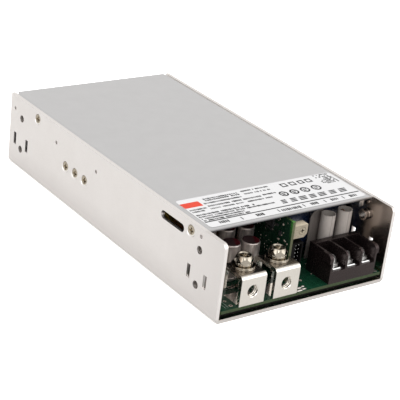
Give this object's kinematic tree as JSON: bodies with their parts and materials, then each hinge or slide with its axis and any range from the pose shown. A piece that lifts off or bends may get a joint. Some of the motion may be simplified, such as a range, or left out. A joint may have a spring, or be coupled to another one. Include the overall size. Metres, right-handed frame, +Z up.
{
  "type": "power supply",
  "caption": "Low-profile enclosed power supply: folded metal channel with a screwed cover and an open end with bolted output terminals, a barrier block and a signal header.",
  "frame": {"origin": "centre of the underside of the chassis, midway along its length and width", "axes": "+X across the width, -Y towards the open terminal end, +Z up from the base to the cover"},
  "size_m": [0.105, 0.2, 0.0411],
  "materials": {
    "case_aluminium": "satin",
    "cover_aluminium": "satin",
    "label_film": "matt film",
    "screw_nickel": "plated",
    "terminal_nickel": "bright plated",
    "bolt_nickel": "bright plated",
    "zinc": "bright plated",
    "spreader_aluminium": "milled",
    "thermal_rubber": "matt",
    "moulded_epoxy": "moulded",
    "film_dark": "matt film",
    "board_green": "solder resist",
    "standoff_brass": "turned",
    "block_black": "moulded",
    "sleeve_paper": "wound paper",
    "fuse_body": "lacquered",
    "barrier_fibre": "fibre sheet",
    "trimmer_beige": "moulded",
    "header_black": "moulded",
    "can_aluminium": "drawn",
    "can_navy": "shrink sleeve",
    "copper_wire": "enamelled",
    "ferrite": "ground",
    "tape_yellow": "taped",
    "fan_black": "moulded"
  },
  "bodies": {
    "case": {"chassis": "case_aluminium", "cover": "cover_aluminium", "blank_label": "label_film", "cover_screws": "screw_nickel", "device_screws": "screw_nickel", "thermal_pad": "thermal_rubber", "heat_spreader": "spreader_aluminium", "power_devices": "moulded_epoxy", "insulating_sheet": "film_dark", "main_board": "board_green", "board_standoffs": "standoff_brass", "board_screws": "zinc", "output_terminal_left": "terminal_nickel", "output_terminal_right": "terminal_nickel", "terminal_bolts": "bolt_nickel", "spring_washers": "bolt_nickel", "flat_washers": "bolt_nickel", "input_block": "block_black", "input_contacts": "zinc", "input_clamps": "zinc", "input_screws": "zinc", "sleeve_inner": "sleeve_paper", "sleeve_outer": "sleeve_paper", "fuse_inner": "fuse_body", "fuse_outer": "fuse_body", "barrier_tongue": "barrier_fibre", "control_board": "board_green", "control_parts": "moulded_epoxy", "trimmer_body": "trimmer_beige", "header_shroud": "header_black", "header_pins": "zinc", "output_capacitor_1": "can_aluminium", "output_capacitor_2": "can_aluminium", "output_capacitor_3": "can_aluminium", "output_capacitor_4": "can_aluminium", "output_capacitor_5": "can_aluminium", "bulk_capacitor_1": "can_navy", "bulk_capacitor_2": "can_navy", "bridge_rectifier": "moulded_epoxy", "output_choke": "copper_wire", "line_choke": "copper_wire", "boost_choke": "copper_wire", "transformer_core": "ferrite", "transformer_winding": "tape_yellow", "fan_frame": "fan_black", "fan_screws": "screw_nickel"},
    "fan": {"fan_impeller": "fan_black"},
    "trimmer": {"trimmer_rotor": "trimmer_beige"}
  },
  "joints": [
    {"name": "fan_spin", "type": "hinge", "parent": "case", "child": "fan", "pos_m": [0, 0.0886, 0.0209], "axis": [0, 1, 0], "continuous": true},
    {"name": "trimmer_turn", "type": "hinge", "parent": "case", "child": "trimmer", "pos_m": [0.0038, -0.0873, 0.0321], "axis": [0, -1, 0], "range_deg": [-130, 130]}
  ]
}
